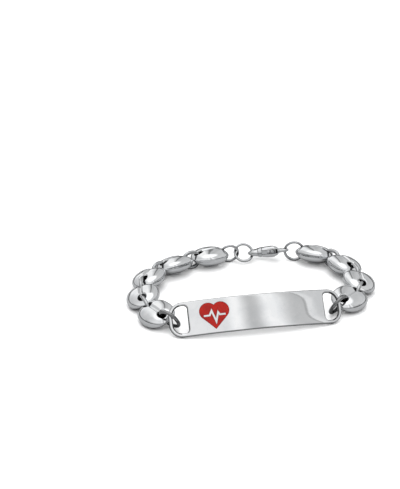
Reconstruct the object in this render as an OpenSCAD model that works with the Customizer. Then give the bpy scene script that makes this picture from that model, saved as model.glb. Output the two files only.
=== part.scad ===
/* [Identity plate] */
// Length of the plate measured along its bend, mm
plate_len = 50; // [40:0.5:60]
// Height of the plate, mm
plate_h = 9.8; // [8:0.1:14]
// Thickness of the plate, mm
plate_t = 1.2; // [0.8:0.1:2]
// Radius the plate is bent to, outer face, mm
plate_bend = 79; // [45:1:200]
// Corner radius of the plate, mm
plate_corner = 3.7; // [2:0.1:4.5]
// Width of the thin rim left round each end slot, mm
rim_w = 1.05; // [0.8:0.05:1.5]
// Length of each end slot along the plate, mm
slot_len = 4.1; // [3.5:0.1:6]
// How far the plate leans back from upright, degrees
plate_lean = 37; // [20:1:50]
// Turn of the plate seen from above, degrees
plate_yaw = 11.5; // [0:0.5:20]

/* [Emblem] */
// Width of the enamel heart, mm
heart_w = 8.3; // [5:0.1:9]
// Distance of the heart from the middle of the plate, mm
heart_off = 12.2; // [0:0.1:14]
// Depth of the enamel pocket, mm
enamel_d = 0.4; // [0.25:0.05:0.6]
// Width of the raised pulse line, mm
pulse_w = 0.5; // [0.35:0.05:0.8]

/* [Puffed links] */
// Length of one puffed link, mm
link_l = 11.7; // [10:0.1:13]
// Width of one puffed link, mm
link_w = 9.8; // [8:0.1:11]
// Thickness of one puffed link at its middle, mm
link_t = 4.9; // [4:0.1:5.5]
// Distance between the two holes of a link, mm
hole_gap = 6.9; // [6:0.1:8]
// Diameter of the holes, mm
hole_d = 2.6; // [2.4:0.05:2.8]
// Depth of the crease between the holes, mm
crease_d = 0.35; // [0.1:0.05:0.6]

/* [Connector rings] */
// Wire thickness of the connector rings, mm
ring_wire = 1.0; // [0.8:0.05:1.1]
// Distance a connector ring spans from hole to hole, mm
ring_span = 5.3; // [5:0.1:6.5]
// Height of a connector ring between wire middles, mm
ring_h = 4.5; // [4.3:0.1:4.9]
// Distance a ring that holds the plate spans from slot to hole, mm
end_span = 5.3; // [5.1:0.1:6]
// Height of the rings that hold the plate between wire middles, mm
end_h = 6.2; // [6:0.1:6.8]
// Wire thickness of the rings that hold the plate, mm
end_wire = 0.9; // [0.7:0.05:1]

/* [Clasp] */
// Wire thickness of the jump rings, mm
jump_wire = 0.8; // [0.7:0.05:0.9]
// Outer diameter of the two jump rings on the left, mm
jump_d = 6.2; // [5.8:0.1:6.8]
// Outer diameter of the jump ring on the right, mm
tail_d = 6.5; // [6:0.1:7]
// Overall length of the lobster clasp, mm
clasp_l = 12.5; // [11.6:0.1:13]
// Width of the lobster clasp, mm
clasp_w = 4.9; // [4.7:0.1:5.4]
// Thickness of the lobster clasp at its thickest, mm
clasp_t = 3.4; // [3:0.1:3.8]

/* [Hidden] */
$fn = 48;
steel = [0.78, 0.79, 0.80];
wire_steel = [0.70, 0.71, 0.72];
enamel = [0.78, 0.13, 0.10];
// Air kept between pieces that sit in one another
gap = 0.06;
// Corner radius of the straight side of a slot
slot_corner = 1;
// Slack of a wire inside a slot or loop
slack = 0.7;
// How far cutters run past the face they cut
over = 1;

// Lay of the left run from the plate: heading of the ring that leads in,
// heading of the link, lean of the link's face from upright, degrees
left_lay = [
  [138, 126, 71],
  [109, 95, 71],
  [84, 70, 73],
  [51, 38, 72],
  [30, 23, 84]];
// Lay of the right run from the plate, same columns
right_lay = [
  [56, 51, 75],
  [71, 93, 74],
  [109, 114, 76],
  [135, 157, 76]];
// Lay of the clasp run: heading of each span, height of its far end as a
// share of the links' mid height, lean of the piece from upright, degrees
clasp_lay = [
  [9, 1.04, 11],
  [5, 0.92, -45],
  [2, 1.15, 70],
  [-4, 1.00, 1]];
// Turn of each end ring about its span, degrees, and its lift, mm
end_lay = [[4, 0.25], [-6, 0.05]];
// Thickness of the clasp along its length: share of the length, share of the
// thickness
clasp_taper = [[0, 0.3], [0.16, 0.42], [0.34, 0.84], [0.5, 1], [0.62, 0.96],
               [0.7, 0.72], [0.77, 0.28], [1, 0.28]];
// Shape of the puffed link: exponent of the plan, taper of the thickness
// towards the tips, exponent of the slices
plan_pow = 2.15;
tip_taper = 0.8;
cross_pow = 2.6;
// Number of slices along a link and of points in a quarter of a slice
link_slices = 17;
quarter_steps = 6;
// Half width of the crease, mm, and the share of the length it fades over
crease_w = 0.45;
crease_end = 0.75;
// Last angle of a quarter slice before its top
slice_end = 78;

// Vector helpers
function unit(v) = v / norm(v);
function dir(a) = [cos(a), sin(a), 0];
function sums(v, i = 0, s = [0, 0, 0]) =
  i == len(v) ? [s] : concat([s], sums(v, i + 1, s + v[i]));
// Placing matrix from an origin and three axes
function place(o, x, y, z) = [
  [x[0], y[0], z[0], o[0]], [x[1], y[1], z[1], o[1]],
  [x[2], y[2], z[2], o[2]], [0, 0, 0, 1]];
// The part of n square to the unit vector l, made unit long
function square_to(n, l) = unit(n - (n * l) * l);

// Mid height of the links: the deepest reach of a leaning link or of a
// connector ring stands on the surface
low_pow = cross_pow / (cross_pow - 1);
function reach_down(t) = pow(pow(link_w / 2 * cos(t), low_pow)
                             + pow(link_t / 2 * sin(t), low_pow), 1 / low_pow);
mid_z = max(concat([(ring_h + ring_wire) / 2],
                   [for (r = concat(left_lay, right_lay)) reach_down(r[2])]));
hole_at = hole_gap / 2;
half_l = link_l / 2;

// Plate: half chord, sag of the bend at a chord position, place of a point
half_chord = plate_bend * sin(plate_len / 2 / plate_bend * 180 / PI);
function sag(x, r) = plate_bend - sqrt(r * r - x * x);
function corner_drop(x) = let (s = x - (half_chord - plate_corner))
  s <= 0 ? 0 : plate_corner - sqrt(plate_corner * plate_corner - s * s);
plate_low = min([for (i = [0:1:160]) let (x = half_chord * i / 160)
  -(plate_h / 2 - corner_drop(x)) * cos(plate_lean)
  - sag(x, plate_bend - plate_t) * sin(plate_lean)]);
plate_mid = [0, 0, -plate_low];
function turn_plate(p) = let (
    y = p[1] * cos(plate_lean) + p[2] * sin(plate_lean),
    z = -p[1] * sin(plate_lean) + p[2] * cos(plate_lean))
  [p[0] * cos(plate_yaw) - y * sin(plate_yaw),
   p[0] * sin(plate_yaw) + y * cos(plate_yaw), z];
// Where the wire of an end ring lies in a slot, side is -1 or 1
wire_x = half_chord - rim_w - end_wire / 2 - slack;
function slot_point(side) = plate_mid
  + turn_plate([side * wire_x, sag(wire_x, plate_bend - plate_t / 2), 0]);
function end_normal(side) = let (a = asin(wire_x / plate_bend))
  turn_plate([side * sin(a), -cos(a), 0]);

// Spans of a run, ring then link, as flat vectors with their heights
function level(len, dz, a) = sqrt(len * len - dz * dz) * dir(a) + [0, 0, dz];
function run_spans(lay, start_z) = [for (i = [0:1:len(lay) - 1], k = [0, 1])
  k == 0
    ? level(i == 0 ? end_span : ring_span, i == 0 ? mid_z - start_z : 0,
            lay[i][0])
    : hole_gap * dir(lay[i][1])];
left_start = slot_point(-1);
right_start = slot_point(1);
left_spans = run_spans(left_lay, left_start[2]);
right_spans = run_spans(right_lay, right_start[2]);
function last(v) = v[len(v) - 1];

// Clasp run: spans of the jump rings, clasp and last jump ring
jump_r = (jump_d - jump_wire) / 2;
tail_r = (tail_d - jump_wire) / 2;
hook_r = clasp_w / 2;
hook_wall = 0.8;
eye_r = 1.6;
eye_hole = 1.1;
play = 0.14;
hook_reach = hook_wall + jump_wire / 2 + 2 * play;
clasp_far = clasp_l - eye_r + eye_hole - jump_wire / 2 - 2 * play;
jump_cross = jump_wire + play;
pull = 0.1;
span_lens = [
  2 * jump_r + pull,
  2 * jump_r - jump_cross,
  clasp_far - hook_reach,
  2 * tail_r];
function clasp_z(i) = i < 0 ? mid_z : clasp_lay[i][1] * mid_z;
clasp_spans = [for (i = [0:1:3])
  level(span_lens[i], clasp_z(i) - clasp_z(i - 1), clasp_lay[i][0])];

// Closing the loop: the right run turns about its slot until the clasp run
// fits between the two ends
left_end = left_start + last(sums(left_spans));
right_arm = last(sums(right_spans));
clasp_chord = last(sums(clasp_spans));
flat_clasp = norm([clasp_chord[0], clasp_chord[1]]);
flat_arm = norm([right_arm[0], right_arm[1]]);
to_left = left_end - right_start;
flat_gap = norm([to_left[0], to_left[1]]);
arm_angle = atan2(to_left[1], to_left[0])
  - acos((flat_gap * flat_gap + flat_arm * flat_arm
          - flat_clasp * flat_clasp) / (2 * flat_gap * flat_arm));
right_turn = arm_angle - atan2(right_arm[1], right_arm[0]);
function spin(v, a) = [v[0] * cos(a) - v[1] * sin(a),
                       v[0] * sin(a) + v[1] * cos(a), v[2]];
right_end = right_start + spin(right_arm, right_turn);
span_flat = right_end - left_end;
clasp_turn = atan2(span_flat[1], span_flat[0])
  - atan2(clasp_chord[1], clasp_chord[0]);

left_pts = [for (p = sums(left_spans)) left_start + p];
right_pts = [for (p = sums(right_spans)) right_start + spin(p, right_turn)];
clasp_pts = [for (p = sums(clasp_spans)) left_end + spin(p, clasp_turn)];

// Link number 1 to 9: near hole, far hole, heading, lean, side of outside
function link_row(n) = n <= 5 ? left_lay[n - 1] : right_lay[9 - n];
function link_heading(n) = n <= 5 ? link_row(n)[1]
                                  : link_row(n)[1] + right_turn;
function link_near(n) = n <= 5 ? left_pts[2 * n - 1]
                               : right_pts[2 * (10 - n) - 1];
function link_far(n) = n <= 5 ? left_pts[2 * n] : right_pts[2 * (10 - n)];
function link_mid(n) = (link_near(n) + link_far(n)) / 2;
function outward(n) = let (a = link_heading(n), s = n <= 5 ? 1 : -1)
  s * [-sin(a), cos(a), 0];
function link_normal(n) = let (t = link_row(n)[2])
  cos(t) * outward(n) + [0, 0, sin(t)];

// Middle of the bracelet seen from above, from its outermost pieces
function reach_x(n) = let (a = link_heading(n))
  sqrt(pow(half_l * cos(a), 2) + pow(link_w / 2 * sin(a), 2));
function reach_y(n) = let (a = link_heading(n))
  sqrt(pow(half_l * sin(a), 2) + pow(link_w / 2 * cos(a), 2));
low_x = min([for (n = [1:9]) link_mid(n)[0] - reach_x(n)]);
high_x = max([for (n = [1:9]) link_mid(n)[0] + reach_x(n)]);
high_y = max([for (n = [1:9]) link_mid(n)[1] + reach_y(n)]);
low_y = min([for (i = [0:1:40]) let (x = half_chord * (i / 20 - 1))
  turn_plate([x, sag(x, plate_bend),
              -(plate_h / 2 - corner_drop(abs(x)))])[1]]);
centre = [-(low_x + high_x) / 2, -(low_y + high_y) / 2, 0];

// Flat shapes
module rounded_rect(w, h, r) {
  square([w, h - 2 * r], center = true);
  square([w - 2 * r, h], center = true);
  for (x = [-1, 1], y = [-1, 1])
    translate([x * (w / 2 - r), y * (h / 2 - r)]) circle(r = r);
}

// Bar with round ends of two radii, the straight sides touch both circles
module taper_bar(p, r, q, s) {
  d = norm(q - p);
  a = atan2(q[1] - p[1], q[0] - p[0]);
  b = acos((r - s) / d);
  polygon([p + r * [cos(a + b), sin(a + b)], p + r * [cos(a - b), sin(a - b)],
           q + s * [cos(a - b), sin(a - b)], q + s * [cos(a + b), sin(a + b)]]);
  translate(p) circle(r = r);
  translate(q) circle(r = s);
}

// Heart as one outline of two arcs and a tip, drawn in by inset
heart_side = heart_w / (1 + sqrt(0.5));
heart_c = heart_side / sqrt(8);
heart_lift = (heart_c + heart_side / 2 - heart_side / sqrt(2)) / 2;
heart_steps = 16;
function heart_arc(c, r, a0, a1) = [for (i = [0:1:heart_steps])
  let (a = a0 + (a1 - a0) * i / heart_steps) c + r * [cos(a), sin(a)]];
module heart(inset) {
  r = heart_side / 2 - inset;
  e = 90 + asin(min(1, heart_c / r));
  translate([0, -heart_lift])
    polygon(concat([[0, (inset * 2 - heart_side) / sqrt(2)]],
                   heart_arc([heart_c, heart_c], r, -45, e),
                   heart_arc([-heart_c, heart_c], r, 180 - e, 225)));
}

// Pulse line across the heart, points as shares of the heart's width
pulse_pts = [[-0.36, 0.02], [-0.17, 0.02], [-0.09, 0.17], [0.03, -0.20],
             [0.12, 0.10], [0.17, 0.02], [0.36, 0.02]];
function turned(v) = [-v[1], v[0]];
function bar_dir(i) = unit(pulse_pts[i + 1] - pulse_pts[i]);
// Corner of the strip on side s: half width along the mitre of both bars
function pulse_edge(i, w, s) = let (
    n = len(pulse_pts) - 1,
    a = turned(bar_dir(max(0, i - 1))), b = turned(bar_dir(min(n - 1, i))))
  heart_w * pulse_pts[i] + s * w / 2 * (a + b) / (1 + a * b);
module pulse_line(w) {
  n = len(pulse_pts) - 1;
  polygon(concat([for (i = [0:1:n]) pulse_edge(i, w, 1)],
                 [for (i = [n:-1:0]) pulse_edge(i, w, -1)]));
}

// Cylinder of the bend, taller than the plate
bend_steps = 720;
module bend_round(r, h) {
  translate([0, plate_bend, 0])
    cylinder(r = r, h = h, center = true, $fn = bend_steps);
}

// Flat shape pushed through the plate from the front
module through_plate(depth) {
  translate([0, depth, 0]) rotate([90, 0, 0])
    linear_extrude(height = depth + over) children();
}

module on_plate() {
  translate(centre + plate_mid) rotate([0, 0, plate_yaw])
    rotate([-plate_lean, 0, 0]) children();
}

plate_depth = sag(half_chord, plate_bend - plate_t) + over;
module plate_outline() {
  difference() {
    rounded_rect(2 * half_chord, plate_h, plate_corner);
    for (s = [-1, 1]) intersection() {
      rounded_rect(2 * (half_chord - rim_w), plate_h - 2 * rim_w,
                   plate_corner - rim_w);
      translate([s * half_chord, 0])
        rounded_rect(2 * (rim_w + slot_len), plate_h - 2 * rim_w,
                     slot_corner);
    }
  }
}

// Frame on the bent face at the heart: x along the face, z across it
enamel_sink = 0.03;
heart_turn = asin(heart_off / plate_bend);
heart_sag = plate_bend - sqrt(pow(plate_bend, 2) - pow(heart_w / 2, 2));
module at_heart() {
  translate([0, plate_bend, 0]) rotate([0, 0, -heart_turn])
    translate([0, -plate_bend, 0]) children();
}

module id_plate() {
  color(steel) on_plate() difference() {
    intersection() {
      difference() {
        bend_round(plate_bend, plate_h + 2 * over);
        bend_round(plate_bend - plate_t, plate_h + 4 * over);
      }
      through_plate(plate_depth) plate_outline();
    }
    at_heart() through_plate(heart_sag + enamel_d) difference() {
      heart(0);
      pulse_line(pulse_w);
    }
  }
}

module enamel_heart() {
  color(enamel) on_plate() at_heart() intersection() {
    bend_round(plate_bend - enamel_sink, plate_h + 2 * over);
    through_plate(heart_sag + enamel_d - gap) difference() {
      heart(gap);
      pulse_line(pulse_w + 2 * gap);
    }
  }
}

// Puffed link as slices across its length, each a closed oval with a crease
// in the middle of both faces
slice_angles = concat(
  [for (i = [0:1:quarter_steps - 1]) slice_end * i / (quarter_steps - 1)],
  [90],
  [for (i = [quarter_steps - 1:-1:0])
     180 - slice_end * i / (quarter_steps - 1)]);
loop_angles = concat(slice_angles,
  [for (i = [1:1:len(slice_angles) - 2]) 180 + slice_angles[i]]);
function spread(u, p) = pow(max(0, 1 - pow(abs(u), p)), 1 / p);
function crease(u) = crease_d * max(0, 1 - pow(u / crease_end, 4));
function slice_point(u, a) = let (
    w = link_w / 2 * spread(u, plan_pow),
    t = link_t / 2 * pow(1 - u * u, tip_taper),
    c = cos(a), s = sin(a),
    k = pow(pow(abs(c), cross_pow) + pow(abs(s), cross_pow),
            -1 / cross_pow),
    dip = abs(c) < 0.01 ? crease(u) : 0,
    y = abs(s) > 0.97 && abs(c) > 0.01
        ? sign(c) * min(abs(w * k * c), crease_w) : w * k * c)
  [half_l * u, y, sign(s) * max(0, t * k * abs(s) - dip)];
link_points = concat([[-half_l, 0, 0]],
  [for (i = [1:1:link_slices], a = loop_angles)
     slice_point(-cos(180 * i / (link_slices + 1)), a)],
  [[half_l, 0, 0]]);
loop_n = len(loop_angles);
link_faces = concat(
  [for (j = [0:1:loop_n - 1]) [0, 1 + j, 1 + (j + 1) % loop_n]],
  [for (i = [0:1:link_slices - 2], j = [0:1:loop_n - 1], k = [0, 1])
     let (a = 1 + i * loop_n + j, b = 1 + i * loop_n + (j + 1) % loop_n)
       k == 0 ? [a, a + loop_n, b] : [b, a + loop_n, b + loop_n]],
  [for (j = [0:1:loop_n - 1]) let (s = 1 + (link_slices - 1) * loop_n)
     [s + j, 1 + link_slices * loop_n, s + (j + 1) % loop_n]]);

module puffed_link(n) {
  a = link_heading(n);
  z = link_normal(n);
  color(steel) multmatrix(place(centre + link_mid(n), dir(a),
                                cross(z, dir(a)), z))
    difference() {
      polyhedron(points = link_points, faces = link_faces);
      for (x = [-hole_at, hole_at])
        translate([x, 0, 0])
          cylinder(d = hole_d, h = link_t + over, center = true);
    }
}

// Oval ring in its own plane: x along its span, z across it
module oval_ring(span, h, wire) {
  if (h > span) rotate([0, 90, 0]) long_ring(h, span, wire);
  else long_ring(span, h, wire);
}

module long_ring(span, h, wire) {
  r = h / 2;
  x = span / 2 - r;
  for (s = [-1, 1]) {
    translate([s * x, 0, 0]) rotate([90, s > 0 ? 90 : -90, 0])
      rotate_extrude(angle = 180) translate([r, 0]) circle(d = wire);
    translate([0, 0, s * r]) rotate([0, 90, 0])
      cylinder(d = wire, h = 2 * x, center = true);
  }
}

module ring_between(p, q, n, h, wire, turn = 0, lift = 0) {
  l = unit(q - p);
  u = square_to(n, l);
  z = cos(turn) * u + sin(turn) * cross(l, u);
  color(wire_steel)
    multmatrix(place(centre + (p + q) / 2 + lift * z, l, cross(z, l), z))
      oval_ring(norm(q - p), h, wire);
}

// Connector ring number 1 to 9, counted from the left slot round to the
// right slot
module connector_ring(k) {
  if (k == 1)
    ring_between(left_pts[0], left_pts[1], end_normal(-1) + link_normal(1),
                 end_h, end_wire, end_lay[0][0], end_lay[0][1]);
  else if (k <= 5)
    ring_between(left_pts[2 * k - 2], left_pts[2 * k - 1],
                 link_normal(k - 1) + link_normal(k), ring_h, ring_wire);
  else if (k <= 8)
    ring_between(right_pts[2 * (9 - k)], right_pts[2 * (9 - k) + 1],
                 link_normal(k) + link_normal(k + 1), ring_h, ring_wire);
  else
    ring_between(right_pts[0], right_pts[1], end_normal(1) + link_normal(9),
                 end_h, end_wire, end_lay[1][0], end_lay[1][1]);
}

// Frame of clasp run piece i: span direction, its plane turned about it
function clasp_dir(i) = unit(clasp_pts[i + 1] - clasp_pts[i]);
function clasp_up(i) = let (l = clasp_dir(i), u = square_to([0, 0, 1], l))
  cos(clasp_lay[i][2]) * u + sin(clasp_lay[i][2]) * cross(l, u);

module loop_piece(i, r, back) {
  p = clasp_pts[i] - back * clasp_dir(i);
  q = clasp_pts[i + 1];
  u = clasp_up(i);
  l = clasp_dir(i);
  color(wire_steel) multmatrix(place(centre + (p + q) / 2, l, cross(u, l), u))
    rotate([90, 0, 0])
      rotate_extrude() translate([r, 0]) circle(d = jump_wire);
}

module jump_ring_1() {
  loop_piece(0, jump_r, -pull);
}

module jump_ring_2() {
  loop_piece(1, jump_r, jump_cross);
}

module jump_ring_3() {
  loop_piece(3, tail_r, 0);
}

// Clasp in its own plane: x from the hook end, y across, z through. The
// lever turns on the pin and its tip closes the hook's mouth
pin_x = clasp_l - 2 * eye_r - 1.2;
pin_y = 0.75;
pin_d = 0.7;
pin_clear = 0.14;
tip_x = 3.5;
tip_y = 1.75;
tip_r = 0.48;
lever_r = 0.75;
lever_t = 1.0;
tab_r = 0.7;
tab_at = [-0.9, 1.05];
room_r = 0.9;
room_l = 2.6;
room_low = -0.8;
side_gap = 0.15;
mouth_from = tip_x - 0.62;
mouth_to = pin_x - 0.97;
window_end = [pin_x - 2.2, -0.1];
module on_clasp() {
  u = clasp_up(2);
  l = clasp_dir(2);
  p = clasp_pts[2] - hook_reach * l;
  multmatrix(place(centre + p, l, u, cross(l, u))) children();
}

module clasp_outline() {
  taper_bar([hook_r, 0], hook_r, [clasp_l - eye_r, 0], eye_r);
}

module clasp_window() {
  taper_bar([hook_r, 0], hook_r - hook_wall,
            window_end, hook_r - 1.25 * hook_wall);
}

module lever_shape() {
  taper_bar([pin_x, pin_y], lever_r, [tip_x, tip_y], tip_r);
  translate([pin_x, pin_y] + tab_at) circle(r = tab_r);
}

// Room for the lever in the middle of the body, open to the lever's side
module lever_room() {
  translate([pin_x, pin_y]) circle(r = room_r);
  translate([pin_x - room_l, room_low]) square([room_l, clasp_w]);
}

// Side view of the clasp, pushed through its width
module clasp_side() {
  rotate([90, 0, 0]) linear_extrude(height = clasp_w + over, center = true)
    polygon(concat(
      [for (r = clasp_taper) [r[0] * clasp_l, r[1] * clasp_t / 2]],
      [for (i = [len(clasp_taper) - 1:-1:0])
         [clasp_taper[i][0] * clasp_l, -clasp_taper[i][1] * clasp_t / 2]]));
}

module clasp_body() {
  color(steel) on_clasp() {
    difference() {
      intersection() {
        linear_extrude(height = clasp_t + over, center = true) difference() {
          clasp_outline();
          clasp_window();
          translate([clasp_l - eye_r, 0]) circle(r = eye_hole);
          translate([mouth_from, room_r])
            square([mouth_to - mouth_from, clasp_w]);
        }
        clasp_side();
      }
      linear_extrude(height = lever_t + 2 * side_gap, center = true)
        lever_room();
    }
    translate([pin_x, pin_y, 0])
      cylinder(d = pin_d, h = lever_t + 4 * side_gap, center = true);
  }
}

module clasp_lever() {
  color(wire_steel) on_clasp()
    linear_extrude(height = lever_t, center = true) difference() {
      lever_shape();
      translate([pin_x, pin_y]) circle(r = pin_d / 2 + pin_clear);
    }
}

id_plate();
enamel_heart();
puffed_link(1);  // puffed_link_1
puffed_link(2);  // puffed_link_2
puffed_link(3);  // puffed_link_3
puffed_link(4);  // puffed_link_4
puffed_link(5);  // puffed_link_5
puffed_link(6);  // puffed_link_6
puffed_link(7);  // puffed_link_7
puffed_link(8);  // puffed_link_8
puffed_link(9);  // puffed_link_9
connector_ring(1);  // connector_ring_1
connector_ring(2);  // connector_ring_2
connector_ring(3);  // connector_ring_3
connector_ring(4);  // connector_ring_4
connector_ring(5);  // connector_ring_5
connector_ring(6);  // connector_ring_6
connector_ring(7);  // connector_ring_7
connector_ring(8);  // connector_ring_8
connector_ring(9);  // connector_ring_9
jump_ring_1();
jump_ring_2();
jump_ring_3();
clasp_body();
clasp_lever();
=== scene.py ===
"""Medical alert bracelet: the visible pieces, their finishes and the studio.

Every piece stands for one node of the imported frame. Shapes are worked out in
millimetres and placed in metres, with the place in the mesh.
"""
import logging
import math
from dataclasses import dataclass, field, replace
from enum import Enum

import bmesh
import bpy
import numpy as np
from mathutils import Matrix, Vector


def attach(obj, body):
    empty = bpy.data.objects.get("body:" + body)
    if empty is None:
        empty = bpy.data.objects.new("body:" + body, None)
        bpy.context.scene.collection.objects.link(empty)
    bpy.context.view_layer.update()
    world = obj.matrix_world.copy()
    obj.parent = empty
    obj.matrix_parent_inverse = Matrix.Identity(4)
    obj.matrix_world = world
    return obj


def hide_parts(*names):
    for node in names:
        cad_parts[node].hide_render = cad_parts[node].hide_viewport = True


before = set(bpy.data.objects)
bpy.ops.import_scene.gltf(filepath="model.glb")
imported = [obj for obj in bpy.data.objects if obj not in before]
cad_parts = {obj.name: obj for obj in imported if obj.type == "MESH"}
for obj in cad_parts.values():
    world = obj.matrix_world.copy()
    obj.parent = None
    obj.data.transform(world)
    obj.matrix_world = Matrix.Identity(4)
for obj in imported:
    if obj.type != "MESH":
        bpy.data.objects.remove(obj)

LOG = logging.getLogger("bracelet")
MM = 0.001
WELD = 1e-4

Mesh = bmesh.types.BMesh
Socket = bpy.types.NodeSocket
Pair = tuple[float, float]
Triple = tuple[float, float, float]
Table = tuple[Pair, ...]


class Slot(Enum):
    """Material slots of the record."""

    PLATE = "plate_steel"
    ENAMEL = "enamel"
    LINK = "link_steel"
    RING = "ring_steel"
    CLASP = "clasp_steel"
    LEVER = "lever_steel"


class Body(Enum):
    """Bodies of the frame that pieces ride on."""

    BRACELET = "bracelet"
    LEVER = "lever"


class NodeTree:
    """Adds and links shader nodes in one tree."""

    def __init__(self, tree: bpy.types.NodeTree) -> None:
        """Keeps the tree that the nodes go into."""
        self.tree = tree

    @classmethod
    def of(cls, owner: bpy.types.Material | bpy.types.World) -> "NodeTree":
        """Empties the tree of a new material or world.

        Args:
            owner: the material or world.

        Returns:
            Its tree, ready for nodes.
        """
        owner.use_nodes = True
        owner.node_tree.nodes.clear()
        return cls(owner.node_tree)

    def add(self, kind: str, group: bpy.types.NodeTree | None = None,
            **inputs: object) -> bpy.types.Node:
        """Adds a node and feeds its inputs.

        Args:
            kind: Blender's name of the node type.
            group: the tree that a group node places.
            **inputs: values or output sockets, by the input's name with
                underscores for spaces.

        Returns:
            The new node.
        """
        node = self.tree.nodes.new(kind)
        if group:
            node.node_tree = group
        for name, value in inputs.items():
            self.feed(node.inputs[name.replace("_", " ")], value)
        return node

    def feed(self, socket: Socket, value: object) -> None:
        """Links an output to an input, or sets the input's plain value.

        Args:
            socket: the input.
            value: an output socket, a number, a triple or a colour.
        """
        if isinstance(value, Socket):
            self.tree.links.new(value, socket)
        elif socket.type == "RGBA":
            socket.default_value = (*value, 1)
        else:
            socket.default_value = value

    def math(self, operation: str, *values: object) -> Socket:
        """Adds a Math node.

        Args:
            operation: Blender's name of the operation.
            *values: its inputs, sockets or numbers.

        Returns:
            The result.
        """
        node = self.tree.nodes.new("ShaderNodeMath")
        node.operation = operation
        for socket, value in zip(node.inputs, values):
            self.feed(socket, value)
        return node.outputs[0]

    def spread(self, value: object, low: object, high: object,
               to_low: float = 0.0, to_high: float = 1.0) -> Socket:
        """Maps a value smoothly from one range to another, clamped.

        Args:
            value: the value.
            low: start of its range.
            high: end of its range.
            to_low: what the start becomes.
            to_high: what the end becomes.

        Returns:
            The mapped value.
        """
        node = self.add("ShaderNodeMapRange", Value=value, From_Min=low,
                        From_Max=high, To_Min=to_low, To_Max=to_high)
        node.interpolation_type = "SMOOTHSTEP"
        return node.outputs["Result"]

    def noise(self, place: Socket, scale: object, detail: float,
              roughness: float = 0.5) -> Socket:
        """Adds a noise texture and returns its value."""
        return self.add("ShaderNodeTexNoise", Vector=place, Scale=scale,
                        Detail=detail, Roughness=roughness).outputs[0]

    def bump(self, height: Socket, strength: float, depth: float) -> Socket:
        """Turns a height into a normal, its depth given in mm."""
        return self.add("ShaderNodeBump", Height=height, Strength=strength,
                        Distance=depth * MM).outputs[0]

    def mix(self, factor: object, first: object, second: object,
            blend: str = "MIX") -> Socket:
        """Mixes two colours.

        Args:
            factor: share of the second, a socket or a number.
            first: socket or colour.
            second: socket or colour.
            blend: Blender's name of the way to mix.

        Returns:
            The mixed colour.
        """
        node = self.tree.nodes.new("ShaderNodeMix")
        node.data_type = "RGBA"
        node.blend_type = blend
        for index, value in ((0, factor), (6, first), (7, second)):
            self.feed(node.inputs[index], value)
        return node.outputs[2]

    def surface(self, **inputs: object) -> None:
        """Ends a material in a Principled shader with these inputs."""
        shader = self.add("ShaderNodeBsdfPrincipled", **inputs)
        self.add("ShaderNodeOutputMaterial", Surface=shader.outputs[0])


class SharedEffect:
    """A node group that several materials place, built once."""

    name: str
    inputs: dict[str, float]
    outputs: tuple[str, ...]

    @classmethod
    def group(cls) -> bpy.types.NodeTree:
        """Builds the group at its first use.

        Returns:
            The group, the same one each time.
        """
        tree = bpy.data.node_groups.get(cls.name)
        if tree:
            return tree
        tree = bpy.data.node_groups.new(cls.name, "ShaderNodeTree")
        for name, value in cls.inputs.items():
            socket = tree.interface.new_socket(
                name, in_out="INPUT", socket_type="NodeSocketFloat")
            socket.default_value = value
        for name in cls.outputs:
            tree.interface.new_socket(name, in_out="OUTPUT",
                                      socket_type="NodeSocketFloat")
        nodes = NodeTree(tree)
        results = cls.wire(nodes, nodes.add("NodeGroupInput").outputs)
        out = nodes.add("NodeGroupOutput")
        for socket, value in zip(out.inputs, results):
            nodes.feed(socket, value)
        return tree

    @classmethod
    def wire(cls, nodes: NodeTree, given: bpy.types.NodeOutputs
             ) -> tuple[Socket, ...]:
        """Wires the effect and returns its outputs in order."""
        raise NotImplementedError


class SurfaceMarks(SharedEffect):
    """Fine wipe marks and soft smudges of handled metal."""

    name = "surface_marks"
    inputs = {"Mark Scale": 1.0, "Smudge Scale": 1.0}
    outputs = ("Marks", "Smudge", "Height")
    wipes = ((0.2, 0.5, 0.1), (1.1, 0.3, 1.4), (0.6, 1.2, 2.3))
    wipe_stretch = (0.05, 1.0, 1.0)
    mark_grain = 9000
    marks_past = (0.60, 0.72)
    smudge_grain = 260
    smudge_rough = 0.55
    smudge_past = (0.38, 0.66)
    wave_grain = 1.7
    mark_depth = 0.12

    @classmethod
    def wire(cls, nodes: NodeTree, given: bpy.types.NodeOutputs
             ) -> tuple[Socket, ...]:
        """Wires the marks, the smudges and the relief of both.

        Args:
            nodes: the group's tree.
            given: the group's inputs, the scales of marks and smudges.

        Returns:
            Marks and Smudge, 0 to 1, and Height for a Bump node.
        """
        place = nodes.add("ShaderNodeTexCoord").outputs["Object"]
        layers = []
        for turn in cls.wipes:
            along = nodes.add("ShaderNodeMapping", Vector=place,
                              Rotation=turn, Scale=cls.wipe_stretch)
            scale = nodes.math("MULTIPLY", given["Mark Scale"],
                               cls.mark_grain)
            noise = nodes.noise(along.outputs[0], scale, 2.0)
            layers.append(nodes.spread(noise, *cls.marks_past))
        marks = nodes.math("MAXIMUM", layers[0],
                           nodes.math("MAXIMUM", layers[1], layers[2]))
        scale = nodes.math("MULTIPLY", given["Smudge Scale"],
                           cls.smudge_grain)
        cloud = nodes.noise(place, scale, 3.0, cls.smudge_rough)
        wave = nodes.noise(
            place, nodes.math("MULTIPLY", scale, cls.wave_grain), 1.0)
        height = nodes.math("SUBTRACT", wave, nodes.math(
            "MULTIPLY", marks, cls.mark_depth))
        return marks, nodes.spread(cloud, *cls.smudge_past), height


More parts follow.
